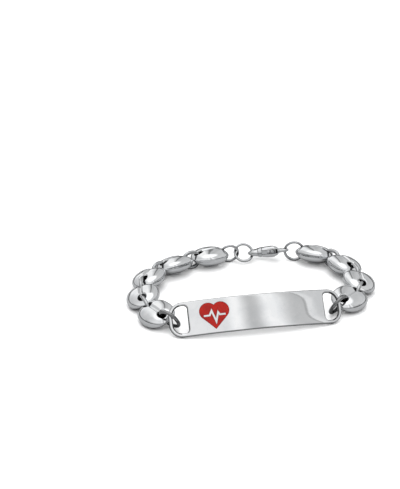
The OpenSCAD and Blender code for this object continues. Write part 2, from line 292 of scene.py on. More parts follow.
class PaintedCreviceShade(SharedEffect):
    """Painted shade: darkens narrow places, where shade falls, found by
    ambient occlusion.
    """

    name = "painted_crevice_shade"
    inputs = {"Reach": MM, "From": 0.3, "To": 0.7}
    outputs = ("Unshaded",)
    rays = 8

    @classmethod
    def wire(cls, nodes: NodeTree, given: bpy.types.NodeOutputs
             ) -> tuple[Socket, ...]:
        """Wires the painted shade from a look into the surroundings.

        Args:
            nodes: the group's tree.
            given: how far it looks, and the openness that counts as deep
                and as open.

        Returns:
            The open share: 0 in deep crevices, painted fully in shade, and 1
                on open surfaces.
        """
        near = nodes.add("ShaderNodeAmbientOcclusion",
                         Distance=given["Reach"])
        near.samples = cls.rays
        return (nodes.spread(near.outputs["AO"], given["From"],
                             given["To"]),)


@dataclass(frozen=True)
class Finish:
    """A finish by its name. Each kind wires its own surface."""

    name: str

    def build(self) -> bpy.types.Material:
        """Builds the material at its first use.

        Returns:
            The finished material.
        """
        material = bpy.data.materials.get(self.name)
        if not material:
            material = bpy.data.materials.new(self.name)
            self.wire(NodeTree.of(material))
        return material

    def wire(self, nodes: NodeTree) -> None:
        """Wires the material's nodes."""
        raise NotImplementedError


@dataclass(frozen=True)
class Steel(Finish):
    """Polished steel, with its marks, its smudges and painted shade in its
    crevices.
    """

    tint: Triple = (0.90, 0.905, 0.91)
    dull_tint: Triple = (0.84, 0.85, 0.86)
    smooth: float = 0.045
    rough: float = 0.10
    marked: float = 0.17
    mark_scale: float = 1.0
    smudge_scale: float = 1.0
    relief: float = 0.05
    relief_depth: float = 0.02
    # painted shade in crevices: its colour, how far the look reaches, and the
    # openness that counts as deep and as open
    crevice_shade_colour: Triple = (0.05, 0.05, 0.052)
    shade_reach: float = 0.9
    shade_from: float = 0.30
    shade_to: float = 0.72

    def wire(self, nodes: NodeTree) -> None:
        """Wires the steel's nodes.

        Args:
            nodes: the material's empty tree.
        """
        marks = nodes.add("ShaderNodeGroup", SurfaceMarks.group(),
                          Mark_Scale=self.mark_scale,
                          Smudge_Scale=self.smudge_scale).outputs
        colour = nodes.mix(marks["Smudge"], self.tint, self.dull_tint)
        # painted shade: darkens the colour in crevices, found by ambient
        # occlusion
        crevices = nodes.add("ShaderNodeGroup", PaintedCreviceShade.group(),
                             Reach=self.shade_reach * MM,
                             From=self.shade_from, To=self.shade_to)
        colour = nodes.mix(crevices.outputs["Unshaded"], self.crevice_shade_colour, colour)
        soft = nodes.spread(marks["Smudge"], 0, 1, self.smooth, self.rough)
        rough = nodes.math("MAXIMUM", soft, nodes.math(
            "MULTIPLY", marks["Marks"], self.marked))
        normal = nodes.bump(marks["Height"], self.relief, self.relief_depth)
        nodes.surface(Base_Color=colour, Roughness=rough, Normal=normal,
                      Metallic=1.0)


@dataclass(frozen=True)
class Enamel(Finish):
    """Fired red enamel under a clear gloss, darker in soft random patches."""

    colour: Triple = (0.29, 0.006, 0.002)
    deep: Triple = (0.22, 0.004, 0.002)
    smudge_scale: float = 2.4
    smooth: float = 0.22
    rough: float = 0.36
    relief: float = 0.2
    relief_depth: float = 0.03
    gloss: float = 0.2
    coat: float = 0.08
    coat_rough: float = 0.08

    def wire(self, nodes: NodeTree) -> None:
        """Wires the enamel's nodes.

        Args:
            nodes: the material's empty tree.
        """
        marks = nodes.add("ShaderNodeGroup", SurfaceMarks.group(),
                          Smudge_Scale=self.smudge_scale).outputs
        nodes.surface(
            Base_Color=nodes.mix(marks["Smudge"], self.colour, self.deep),
            Roughness=nodes.spread(marks["Smudge"], 0, 1, self.smooth,
                                   self.rough),
            Normal=nodes.bump(marks["Height"], self.relief,
                              self.relief_depth),
            Specular_IOR_Level=self.gloss, Coat_Weight=self.coat,
            Coat_Roughness=self.coat_rough)


@dataclass(frozen=True)
class Paper(Finish):
    """Satin white sweep that the bracelet lies on, painted darker where the
    steel reflects it.
    """

    colour: Triple = (0.975, 0.975, 0.975)
    grain_shade: float = 0.99
    grain: float = 900.0
    grain_past: Pair = (0.3, 0.7)
    rough: Pair = (0.30, 0.36)
    # painted reflection: the grey that the sweep shows in reflections only
    painted_reflection: Triple = (0.31, 0.313, 0.317)
    gloss: float = 0.35

    def wire(self, nodes: NodeTree) -> None:
        """Wires the paper's nodes.

        Args:
            nodes: the material's empty tree.
        """
        place = nodes.add("ShaderNodeTexCoord").outputs["Object"]
        grain = nodes.noise(place, self.grain, 2.0)
        colour = nodes.mix(grain, self.colour, tuple(
            self.grain_shade * part for part in self.colour))
        # painted reflection: glossy rays see the sweep in a darker grey
        seen = nodes.add("ShaderNodeLightPath").outputs["Is Glossy Ray"]
        nodes.surface(
            Base_Color=nodes.mix(seen, colour, self.painted_reflection),
            Roughness=nodes.spread(grain, *self.grain_past, *self.rough),
            Specular_IOR_Level=self.gloss)


@dataclass
class NodeFrame:
    """Middle, axes and half sizes of a CAD node, longest axis first."""

    middle: Vector
    axes: Matrix
    half: Vector

    @classmethod
    def of(cls, node: str) -> "NodeFrame":
        """Reads the frame of a node from the moments of its surface.

        Args:
            node: name of the CAD node.

        Returns:
            Its frame, in metres.
        """
        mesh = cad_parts[node].data
        points = np.array([v.co for v in mesh.vertices], float)
        mesh.calc_loop_triangles()
        corners = points[np.array([t.vertices for t in mesh.loop_triangles])]
        a, b, c = corners[:, 0], corners[:, 1], corners[:, 2]
        area = np.linalg.norm(np.cross(b - a, c - a), axis=1) / 2
        middle = ((a + b + c) / 3 * area[:, None]).sum(0) / area.sum()
        spread = np.zeros((3, 3))
        for one in (a, b, c, a + b + c - 3 * middle + middle):
            away = one - middle
            spread += np.einsum("i,ij,ik->jk", area, away, away)
        turns = np.linalg.eigh(spread)[1][:, ::-1]
        if turns[2, 2] < 0:
            turns[:, 2] *= -1
        if np.linalg.det(turns) < 0:
            turns[:, 1] *= -1
        local = (points - middle) @ turns
        return cls(Vector(middle), Matrix(turns.tolist()),
                   Vector(np.abs(local).max(0)))

    def place(self) -> Matrix:
        """Matrix from millimetres in this frame to metres in the row frame."""
        return (Matrix.Translation(self.middle) @ self.axes.to_4x4()
                @ Matrix.Scale(MM, 4))


class Bench:
    """Mesh work that several pieces share."""

    disc_steps = 40
    flat = math.radians(1)

    @staticmethod
    def weld(bm: Mesh) -> None:
        """Merges doubles and turns the faces outwards.

        Args:
            bm: the mesh.
        """
        bmesh.ops.remove_doubles(bm, verts=bm.verts, dist=WELD)
        bmesh.ops.dissolve_degenerate(bm, edges=bm.edges, dist=WELD)
        bmesh.ops.recalc_face_normals(bm, faces=bm.faces)

    @staticmethod
    def join_flat(bm: Mesh) -> None:
        """Joins faces that lie in one plane."""
        bmesh.ops.dissolve_limit(bm, angle_limit=Bench.flat, verts=bm.verts,
                                 edges=bm.edges)

    @staticmethod
    def corner_loop(bm: Mesh, corners: list[Triple],
                    steps: int) -> list[bmesh.types.BMEdge]:
        """Draws a closed outline with rounded corners.

        Args:
            bm: the mesh to draw in, which has no faces yet.
            corners: x, y and corner radius of each corner in turn.
            steps: segments of each rounded corner.

        Returns:
            The edges of the outline.
        """
        before = set(bm.edges)
        verts = [bm.verts.new((x, y, 0)) for x, y, _ in corners]
        bm.faces.new(verts)
        for vert, (_, _, radius) in zip(verts, corners):
            bmesh.ops.bevel(bm, geom=[vert], offset=radius, segments=steps,
                            profile=0.5, material=-1, affect="VERTICES")
        bmesh.ops.delete(bm, geom=bm.faces[:], context="FACES_ONLY")
        return [e for e in bm.edges if e not in before]

    @staticmethod
    def round_edges(bm: Mesh, offset: float, segments: int,
                    past: float = 1.0, above: float = -math.inf,
                    clamp: bool = True) -> None:
        """Rounds the edges whose faces meet at more than an angle.

        Args:
            bm: the mesh.
            offset: how far from the edge the rounding begins.
            segments: segments of the rounding.
            past: the angle, in radians.
            above: height that both ends of the edge lie above.
            clamp: True to stop roundings before they overlap.
        """
        rims = [e for e in bm.edges if e.calc_face_angle(0) > past
                and all(v.co.z > above for v in e.verts)]
        bmesh.ops.bevel(bm, geom=rims, offset=offset, segments=segments,
                        profile=0.5, material=-1, affect="EDGES",
                        clamp_overlap=clamp)

    @staticmethod
    def slice_up(bm: Mesh, axis: int, places: list[float]) -> None:
        """Cuts the mesh by planes across an axis, so that it can bend.

        Args:
            bm: the mesh.
            axis: 0 for x or 1 for y.
            places: where the planes stand.
        """
        normal = Vector((0, 0, 0))
        normal[axis] = 1
        for place in places:
            bmesh.ops.bisect_plane(bm, geom=bm.verts[:] + bm.edges[:]
                                   + bm.faces[:], dist=WELD / 10,
                                   plane_co=normal * place, plane_no=normal)

    @staticmethod
    def bar(discs: list[Triple], depth: float) -> Mesh:
        """Makes the solid that encloses several round discs.

        Args:
            discs: x, y and radius of each disc.
            depth: thickness of the solid, centred on z 0.

        Returns:
            The solid.
        """
        bm = bmesh.new()
        for x, y, radius in discs:
            bmesh.ops.create_cone(
                bm, cap_ends=False, segments=Bench.disc_steps,
                radius1=radius, radius2=radius, depth=depth,
                matrix=Matrix.Translation((x, y, 0)))
        bmesh.ops.delete(bm, geom=bm.edges[:] + bm.faces[:],
                         context="EDGES_FACES")
        shell = bmesh.ops.convex_hull(bm, input=bm.verts[:])
        spare = [g for g in shell["geom_interior"] + shell["geom_unused"]
                 if isinstance(g, bmesh.types.BMVert)]
        bmesh.ops.delete(bm, geom=list(dict.fromkeys(spare)), context="VERTS")
        Bench.join_flat(bm)
        return bm

    @staticmethod
    def block(low: Triple, high: Triple) -> Mesh:
        """Makes a plain block between two corners, to cut with.

        Args:
            low: its lowest corner.
            high: its highest corner.

        Returns:
            The block.
        """
        bm = bmesh.new()
        one, two = Vector(low), Vector(high)
        bmesh.ops.create_cube(bm, size=1, matrix=Matrix.Translation(
            (one + two) / 2) @ Matrix.Diagonal((*(two - one), 1)))
        return bm

    @staticmethod
    def carve(bm: Mesh, tools: list[Mesh],
              operation: str = "DIFFERENCE") -> Mesh:
        """Cuts, or joins, solids by exact booleans.

        Args:
            bm: the solid. It is used up.
            tools: the cutting or joining solids. They are used up.
            operation: DIFFERENCE, UNION or INTERSECT.

        Returns:
            A new mesh with the result.
        """
        body = Bench.to_object(bm, "work")
        helpers = []
        for number, tool in enumerate(tools):
            helper = Bench.to_object(tool, f"tool_{number}")
            helpers.append(helper)
            cut = body.modifiers.new(f"cut_{number}", "BOOLEAN")
            cut.object, cut.operation, cut.solver = helper, operation, "EXACT"
        graph = bpy.context.evaluated_depsgraph_get()
        result = bmesh.new()
        result.from_object(body, graph)
        for spare in [body, *helpers]:
            mesh = spare.data
            bpy.data.objects.remove(spare)
            bpy.data.meshes.remove(mesh)
        return result

    @staticmethod
    def to_object(bm: Mesh, name: str) -> bpy.types.Object:
        """Turns a bmesh into an object in the scene.

        Args:
            bm: the mesh. It is used up.
            name: name of the object.

        Returns:
            The object.
        """
        mesh = bpy.data.meshes.new(name)
        bm.to_mesh(mesh)
        bm.free()
        obj = bpy.data.objects.new(name, mesh)
        bpy.context.scene.collection.objects.link(obj)
        return obj

    @staticmethod
    def finish(bm: Mesh, name: str, place: Matrix,
               finishes: tuple[Finish, ...], sharp: float, slot: Slot,
               node: str, body: Body = Body.BRACELET) -> None:
        """Args:
            bm: the mesh in millimetres. It is used up.
            name: name of the piece.
            place: matrix into the row frame, in metres.
            finishes: what it wears, the main finish first.
            sharp: angle in degrees past which an edge stays sharp.
            slot: its slot in the record. Not used.
            node: the CAD node that it stands for.
            body: the body that it rides on.
        """
        bmesh.ops.transform(bm, matrix=place, verts=bm.verts)
        obj = Bench.to_object(bm, name)
        for finish in finishes:
            obj.data.materials.append(finish.build())
        obj.data.polygons.foreach_set("use_smooth",
                                      [True] * len(obj.data.polygons))
        obj.data.set_sharp_from_angle(angle=math.radians(sharp))
        even = obj.modifiers.new("even_normals", "WEIGHTED_NORMAL")
        even.keep_sharp = True
        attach(obj, body.value)
        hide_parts(node)
        LOG.info("%s: %d faces, for %s", name, len(obj.data.polygons), node)


@dataclass
class HeartEmblem:
    """The heart, open where its pulse line stands in steel."""

    width: float = 8.3
    pulse_width: float = 0.5
    steps: int = 16
    pulse: Table = (
        (-0.36, 0.02), (-0.17, 0.02), (-0.09, 0.17), (0.03, -0.20),
        (0.12, 0.10), (0.17, 0.02), (0.36, 0.02))

    def heart(self, bm: Mesh, inset: float) -> None:
        """Draws the heart's outline, drawn in by inset.

        Args:
            bm: the mesh to draw in.
            inset: distance inside the pocket's wall.
        """
        side = self.width / (1 + math.sqrt(0.5))
        lobe = side / math.sqrt(8)
        lift = (lobe + side / 2 - side / math.sqrt(2)) / 2
        radius = side / 2 - inset
        end = math.pi / 2 + math.asin(min(1.0, lobe / radius))
        tip = Vector((0, (2 * inset - side) / math.sqrt(2) - lift, 0))
        centre = Vector((lobe, lobe - lift, 0))
        start = centre + radius * Vector(
            (math.cos(-math.pi / 4), math.sin(-math.pi / 4), 0))
        for sign in (1, -1):
            flip = Vector((sign, 1, 1))
            first = bm.verts.new(start * flip)
            bm.edges.new((bm.verts.new(tip), first))
            bmesh.ops.spin(bm, geom=[first], cent=centre * flip,
                           axis=(0, 0, sign), steps=self.steps,
                           angle=end + math.pi / 4)
        bmesh.ops.remove_doubles(bm, verts=bm.verts, dist=10 * WELD)

    def pulse_line(self, bm: Mesh, spare: float) -> None:
        """Draws the outline of the pulse line, wider by spare all round.

        Args:
            bm: the mesh to draw in.
            spare: distance outside the line's own edge.
        """
        points = [Vector((x, y, 0)) * self.width for x, y in self.pulse]
        runs = [(q - p).normalized() for p, q in zip(points, points[1:])]
        half = self.pulse_width / 2 + spare
        sides = {1: [], -1: []}
        for index, point in enumerate(points):
            before = runs[max(0, index - 1)]
            after = runs[min(len(runs) - 1, index)]
            one = Vector((-before.y, before.x, 0))
            two = Vector((-after.y, after.x, 0))
            mitre = (one + two) / (1 + one.dot(two))
            for sign, row in sides.items():
                row.append(bm.verts.new(point + sign * half * mitre))
        loop = sides[1] + sides[-1][::-1]
        for one, two in zip(loop, loop[1:] + loop[:1]):
            bm.edges.new((one, two))

    def solid(self, inset: float, top: float, bottom: float) -> Mesh:
        """Makes the heart, open where the pulse line stands, as a solid.

        Args:
            inset: distance inside the pocket's wall.
            top: height of its upper face.
            bottom: height of its lower face.

        Returns:
            The solid, flat, about its own middle.
        """
        bm = bmesh.new()
        self.heart(bm, inset)
        self.pulse_line(bm, inset)
        bmesh.ops.triangle_fill(bm, use_beauty=True, edges=bm.edges[:],
                                normal=(0, 0, 1))
        made = bmesh.ops.extrude_face_region(bm, geom=bm.faces[:])
        raised = [v for v in made["geom"] if isinstance(v, bmesh.types.BMVert)]
        bmesh.ops.translate(bm, verts=bm.verts, vec=(0, 0, bottom))
        bmesh.ops.translate(bm, verts=raised, vec=(0, 0, top - bottom))
        Bench.weld(bm)
        return bm


@dataclass
class IdPlate:
    """Curved identity plate with a slot at each end, and its emblem."""

    length: float = 50.0
    height: float = 9.8
    thick: float = 1.2
    bend: float = 79.0
    corner: float = 3.7
    corner_steps: int = 14
    rim: float = 1.05
    slot_length: float = 4.1
    slot_corner: float = 1.0
    edge: float = 0.3
    slot_edge: float = 0.5
    edge_steps: int = 6
    bend_steps: int = 110
    crown_slices: int = 10
    crown_slice: float = 0.45
    ground_shaded_past: float = 0.72
    brim_ground_shaded_past: float = 0.985
    slot_wall_shade_past: float = 0.94
    crown: float = 0.08
    crown_from: float = 0.6
    crown_power: int = 4
    lean: float = 37.0
    yaw: float = 11.5
    middle: Triple = (1.22974, -22.8211, 6.42108)
    emblem_at: float = -12.2
    pocket: float = 0.4
    pocket_clear: float = 0.5
    enamel_gap: float = 0.05
    enamel_top: float = -0.04
    enamel_lift: float = 0.06
    enamel_edge: float = 0.05
    enamel_rims_above: float = -0.1
    sharp: float = 32
    enamel_sharp: float = 40
    emblem: HeartEmblem = field(default_factory=HeartEmblem)
    polish: Steel = Steel("plate_polish", smooth=0.015, rough=0.04,
                          marked=0.12, relief=0.015)
    # second finish: a rougher ground edge, its dark tint painted shade that
    # draws dark lines along the edges
    ground_and_shaded: Steel = Steel("plate_edge_ground_and_shaded", tint=(0.42, 0.422, 0.425),
                          dull_tint=(0.34, 0.342, 0.345), smooth=0.16,
                          rough=0.24, marked=0.3, mark_scale=0.6, relief=0.2)
    # third finish: near-black painted shade on the slots' outer walls
    slot_wall_shade: Steel = replace(ground_and_shaded, name="slot_wall_painted_shade", rough=0.26,
                            tint=(0.15, 0.151, 0.153),
                            dull_tint=(0.10, 0.101, 0.102))
    enamel: Enamel = Enamel("red_enamel")

    @property
    def half_chord(self) -> float:
        """Half of the straight distance between the plate's ends."""
        return self.bend * math.sin(self.length / 2 / self.bend)

    def place(self) -> Matrix:
        """Matrix from the plate's own frame, in mm, to the row frame."""
        return (Matrix.Scale(MM, 4) @ Matrix.Translation(self.middle)
                @ Matrix.Rotation(math.radians(self.yaw), 4, "Z")
                @ Matrix.Rotation(math.radians(-self.lean), 4, "X"))

    def outline(self, bm: Mesh, angle: float,
                front: bool) -> list[list[bmesh.types.BMEdge]]:
        """Draws the plate's outline and its two slots at one level.

        Args:
            bm: the mesh to draw in.
            angle: how far round the edge the level is, 0 on the wall and
                a right angle on the face.
            front: True for the front edge, False for the back.

        Returns:
            The edges of each of the three outlines.
        """
        inset = self.edge * (1 - math.cos(angle))
        long, high = self.half_chord - inset, self.height / 2 - inset
        corner = self.corner - inset
        outlines = [[(x * long, y * high, corner)
                     for x, y in ((-1, -1), (1, -1), (1, 1), (-1, 1))]]
        grow = self.slot_edge * (1 - math.cos(angle))
        far = self.half_chord - self.rim + grow
        near = far - self.slot_length - 2 * grow
        top = self.height / 2 - self.rim + grow
        outer = self.corner - self.rim + grow
        inner = self.slot_corner + grow
        outlines += [[(side * far, -top, outer), (side * far, top, outer),
                      (side * near, top, inner), (side * near, -top, inner)]
                     for side in (-1, 1)]
        loops = []
        for corners, edge in zip(outlines, (self.edge, self.slot_edge,
                                            self.slot_edge)):
            loop = Bench.corner_loop(bm, corners, self.corner_steps)
            level = edge * (math.sin(angle) - 1)
            bmesh.ops.translate(bm, verts=list({v for e in loop
                                                for v in e.verts}),
                                vec=(0, 0, level if front
                                     else -self.thick - level))
            loops.append(loop)
        return loops

    def blank(self) -> Mesh:
        """Makes the flat plate with rounded edges, front face at z 0.

        Returns:
            The flat solid.
        """
        turn = math.pi / (2 * self.edge_steps)
        angles = [turn * i for i in range(self.edge_steps + 1)]
        bm = bmesh.new()
        rows = [self.outline(bm, angle, False) for angle in reversed(angles)]
        rows += [self.outline(bm, angle, True) for angle in angles]
        for cap in (rows[0], rows[-1]):
            bmesh.ops.triangle_fill(bm, use_beauty=True, normal=(0, 0, 1),
                                    edges=[e for loop in cap for e in loop])
        for low, high in zip(rows, rows[1:]):
            for one, two in zip(low, high):
                bmesh.ops.bridge_loops(bm, edges=one + two)
        Bench.weld(bm)
        return bm

    def bend_over(self, bm: Mesh) -> None:
        """Bends the flat mesh round the wrist and crowns its front face.

        Args:
            bm: the flat mesh.
        """
        steps, rows = self.bend_steps, self.crown_slices
        Bench.slice_up(bm, 0, [self.half_chord * (2 * i / steps - 1)
                               for i in range(1, steps)])
        Bench.slice_up(bm, 1, [self.crown_slice * i
                               for i in range(-rows, rows + 1)])
        run = self.height / 2 - self.crown_from
        for vert in bm.verts:
            x, y, z = vert.co
            past = max(0.0, abs(y) - self.crown_from) / run
            crown = self.crown * past ** self.crown_power
            radius = self.bend + z - crown * (1 + z / self.thick)
            vert.co = (x, self.bend - math.sqrt(radius ** 2 - x ** 2), y)

    def on_face(self, bm: Mesh) -> Mesh:
        """Moves a flat solid from the emblem's middle to its place."""
        bmesh.ops.translate(bm, verts=bm.verts, vec=(self.emblem_at, 0, 0))
        return bm

    def mark_edges(self, bm: Mesh) -> None:
        """Gives the ground edges the plate's second finish: rougher, and
        darker as painted shade.

        The outer walls of the slots, where the rings run, get the third, near
        black as painted shade.

        Args:
            bm: the flat plate.
        """
        brim = self.height / 2 - self.edge
        middle = self.half_chord - self.rim - self.slot_length / 2
        for face in bm.faces:
            spot, normal = face.calc_center_median(), face.normal
            away = spot - Vector((math.copysign(middle, spot.x), 0, 0))
            slope = abs(normal.z)
            # the slots' outer walls get the near-black painted shade
            if (slope < self.slot_wall_shade_past and away.dot(normal) < 0
                    and abs(spot.x) > middle):
                face.material_index = 2
            # other steep faces get the ground finish, darkened as painted
            # shade
            elif slope < (self.brim_ground_shaded_past if abs(spot.y) > brim
                          else self.ground_shaded_past):
                face.material_index = 1

    def build(self) -> None:
        """Makes the plate and the enamel in its pocket."""
        pocket = self.on_face(self.emblem.solid(0, self.pocket_clear,
                                                -self.pocket))
        bm = Bench.carve(self.blank(), [pocket])
        Bench.weld(bm)
        self.mark_edges(bm)
        self.bend_over(bm)
        Bench.finish(bm, "polished_plate", self.place(),
                     (self.polish, self.ground_and_shaded, self.slot_wall_shade), self.sharp,
                     Slot.PLATE, "id_plate")
        fill = self.on_face(self.emblem.solid(
            self.enamel_gap, self.enamel_top, self.enamel_lift - self.pocket))
        Bench.round_edges(fill, self.enamel_edge, 2,
                          above=self.enamel_rims_above, clamp=False)
        self.bend_over(fill)
        Bench.finish(fill, "heart_enamel", self.place(), (self.enamel,),
                     self.enamel_sharp, Slot.ENAMEL, "enamel_heart")


@dataclass
class PuffedLinks:
    """The nine puffed links: two shells, a crease and two holes each."""

    length: float = 11.7
    width: float = 9.8
    thick: float = 4.9
    round_steps: int = 96
    long_steps: int = 56
    gather: float = 0.3
    plan_power: float = 2.15
    long_power: float = 2.5
    tip_power: float = 0.76
    hollow: Triple = (0.9, 0.88, 0.76)
    hollow_steps: tuple[int, int] = (32, 20)
    inside_weights: Triple = (1.0, 1.4, 5.0)
    inside_past: float = -0.5
    slice_power: float = 2.3
    hole_apart: float = 6.9
    hole: float = 2.6
    hole_steps: int = 40
    flare: float = 0.32
    flare_turn: float = 15
    flare_steps: int = 6
    crease: float = 0.42
    crease_half: float = 0.85
    crease_end: float = 0.75
    crease_past: float = 0.3
    seam: float = 0.10
    seam_turn: float = 1e-4
    slope: float = 0.43
    face_at_hole: float = 1.70
    sharp: float = 50
    count: int = 9
    steel: Steel = Steel("link_polish", tint=(0.88, 0.885, 0.89),
                         dull_tint=(0.83, 0.84, 0.85), smooth=0.04,
                         rough=0.08, smudge_scale=1.4)
    # painted shade: near-black steel for the hollow, standing in for the shade
    # inside the link
    inside: Steel = Steel("link_inside_painted_shade", tint=(0.03, 0.03, 0.03),
                          dull_tint=(0.02, 0.02, 0.02), smooth=0.5,
                          rough=0.7)

    def shell(self) -> Mesh:
        """Shapes a sphere into the closed bean.

        Returns:
            The bean without its holes.
        """
        bm = bmesh.new()
        bmesh.ops.create_uvsphere(bm, u_segments=self.round_steps,
                                  v_segments=self.long_steps, radius=1)
        bmesh.ops.rotate(bm, verts=bm.verts,
                         matrix=Matrix.Rotation(math.pi / 2, 3, "Y"))
        for vert in bm.verts:
            vert.co = self.shaped(vert.co)
        Bench.weld(bm)
        return bm

    def shaped(self, point: Vector) -> Vector:
        """Finds where a point of the unit sphere lies on the bean.

        Args:
            point: the point, its x along the link.

        Returns:
            Its place on the bean, with the seam and the crease.
        """
        u = max(-1.0, min(1.0, point.x))
        turn = math.atan2(point.z, point.y)
        turn += self.gather * math.sin(2 * turn)
        wide = self.width / 2 * max(0.0, 1 - abs(u) ** self.plan_power) ** (
            1 / self.plan_power)
        deep = self.thick / 2 * max(0.0, 1 - abs(u) ** self.long_power) ** (
            self.tip_power)
        c, s = math.cos(turn), math.sin(turn)
        power = self.slice_power
        k = (abs(c) ** power + abs(s) ** power) ** (-1 / power)
        y, z = wide * k * c, deep * k * s
        if abs(s) < self.seam_turn:
            y -= math.copysign(min(self.seam, abs(y) / 2), y)
        near = max(0.0, 1 - abs(y) / self.crease_half)
        along = max(0.0, 1 - (abs(u) / self.crease_end) ** 4)
        groove = near * near * (3 - 2 * near)
        dip = self.crease * groove * along if abs(s) > self.crease_past else 0
        z -= math.copysign(min(dip, abs(z)), z)
        return Vector((self.length / 2 * u, y, z))

    def spool(self, side: int) -> Mesh:
        """Makes the cutter of one hole, flared where it meets the faces.

        Args:
            side: -1 or 1, the end of the link.

        Returns:
            The cutter.
        """
        bm = bmesh.new()
        radius, flare, face = self.hole / 2, self.flare, self.face_at_hole
        profile = []
        for step in range(self.flare_steps):
            angle = math.radians(self.flare_turn * step)
            profile.append((radius + flare * (1 - math.cos(angle)),
                            face - flare * (1 - math.sin(angle))))
        profile.append((profile[-1][0], self.thick))
        rows = [(r, -z) for r, z in reversed(profile)] + profile
        verts = [bm.verts.new((r, 0, z)) for r, z in rows]
        for one, two in zip(verts, verts[1:]):
            bm.edges.new((one, two))
        bmesh.ops.spin(bm, geom=bm.verts[:] + bm.edges[:], axis=(0, 0, 1),
                       steps=self.hole_steps, angle=math.tau, use_merge=True)
        rims = [e for e in bm.edges if e.is_boundary]
        bmesh.ops.holes_fill(bm, edges=rims, sides=0)
        for vert in bm.verts:
            vert.co.z *= 1 - self.slope * side * vert.co.x / face
            vert.co.x += side * self.hole_apart / 2
        Bench.weld(bm)
        return bm

    def cavity(self) -> Mesh:
        """Makes the hollow inside of the link.

        Returns:
            The solid to take out.
        """
        bm = bmesh.new()
        around, along = self.hollow_steps
        bmesh.ops.create_uvsphere(bm, u_segments=around, v_segments=along,
                                  radius=1)
        size = [self.length / 2, self.width / 2, self.thick / 2]
        bmesh.ops.scale(bm, verts=bm.verts, vec=[
            a * b for a, b in zip(size, self.hollow)])
        return bm

    def build(self) -> None:
        """Makes one link and sets a copy of it at each of its nodes.

        Its hollow, seen through the holes, wears the second finish, near black
        as painted shade.
        """
        bm = Bench.carve(self.shell(), [self.cavity(), self.spool(-1),
                                        self.spool(1)])
        Bench.weld(bm)
        # faces of the hollow get the near-black painted shade
        weights = Vector(self.inside_weights)
        for face in bm.faces:
            outward = face.calc_center_median() * weights
            if face.normal.dot(outward) < self.inside_past:
                face.material_index = 1
        for number in range(1, self.count + 1):
            node = f"puffed_link_{number}"
            Bench.finish(bm.copy(), f"bean_link_{number}",
                         NodeFrame.of(node).place(),
                         (self.steel, self.inside), self.sharp, Slot.LINK,
                         node)
        bm.free()


@dataclass
class WireRings:
    """Oval connector rings and round jump rings of bent wire."""

    wires: tuple[float, ...] = (0.9, 1.0, 1.0, 1.0, 1.0, 1.0, 1.0, 1.0, 0.9)
    jump_wire: float = 0.8
    cut: float = 0.07
    fuller: float = 0.12
    jumps: int = 3
    end_rings: tuple[str, str] = ("connector_ring_1", "connector_ring_9")
    wire_steps: int = 18
    round_steps: int = 72
    sharp: float = 50
    # the wires' painted shade reaches far, darkening them where they pass
    # through links and slots
    steel: Steel = Steel("wire_polish", tint=(0.64, 0.645, 0.65),
                         dull_tint=(0.56, 0.57, 0.58), smooth=0.03,
                         rough=0.07, shade_reach=2.0, shade_from=0.35,
                         shade_to=0.95)
    # painted shade: a darker copy of the wire steel for the two rings that lie
    # in the plate's slots, where shade falls
    end_ring_shade_steel: Steel = replace(steel, name="end_wire_painted_shade",
                               tint=(0.36, 0.362, 0.365),
                               dull_tint=(0.29, 0.292, 0.295),
                               shade_reach=3.0, shade_from=0.45,
                               shade_to=1.0)

    def ring(self, long: float, short: float, wire: float,
             cut: float) -> Mesh:
        """Sweeps a wire round an oval.

        Args:
            long: longer distance between wire middles.
            short: shorter distance between wire middles.
            wire: thickness of the wire.
            cut: width of the cut where its ends meet, 0 for none.

        Returns:
            The ring in the xy plane.
        """
        bm = bmesh.new()
        radius = short / 2
        turn = math.asin(cut / 2 / radius) if cut else 0.0
        bmesh.ops.create_circle(
            bm, cap_ends=cut > 0, segments=self.wire_steps, radius=wire / 2,
            matrix=Matrix.Rotation(turn, 4, "Z")
            @ Matrix.Translation((radius, 0, 0))
            @ Matrix.Rotation(math.pi / 2, 4, "X"))
        bmesh.ops.spin(bm, geom=bm.verts[:] + bm.edges[:] + bm.faces[:],
                       axis=(0, 0, 1), steps=self.round_steps,
                       angle=math.tau - 2 * turn, use_merge=not cut)
        half_step = Matrix.Rotation(math.pi / self.round_steps, 3, "Z")
        bmesh.ops.rotate(bm, verts=bm.verts, matrix=half_step)
        shift = (long - short) / 2
        for vert in bm.verts:
            vert.co.x += math.copysign(shift, vert.co.x)
        Bench.weld(bm)
        return bm

    def build(self) -> None:
        """Makes a ring at each ring node, sized by the node."""
        jobs = [(f"connector_ring_{n}", f"oval_ring_{n}", wire, 0.0)
                for n, wire in enumerate(self.wires, 1)]
        jobs += [(f"jump_ring_{n}", f"round_ring_{n}", self.jump_wire,
                  self.cut) for n in range(1, self.jumps + 1)]
        for node, name, wire, cut in jobs:
            at = NodeFrame.of(node)
            long = 2 * at.half.x / MM - wire
            short = long if cut else 2 * at.half.y / MM - wire
            full = wire + (0 if cut else self.fuller)
            # the rings in the slots wear the painted-shade copy
            steel = self.end_ring_shade_steel if node in self.end_rings else self.steel
            Bench.finish(self.ring(long, short, full, cut), name, at.place(),
                         (steel,), self.sharp, Slot.RING, node)


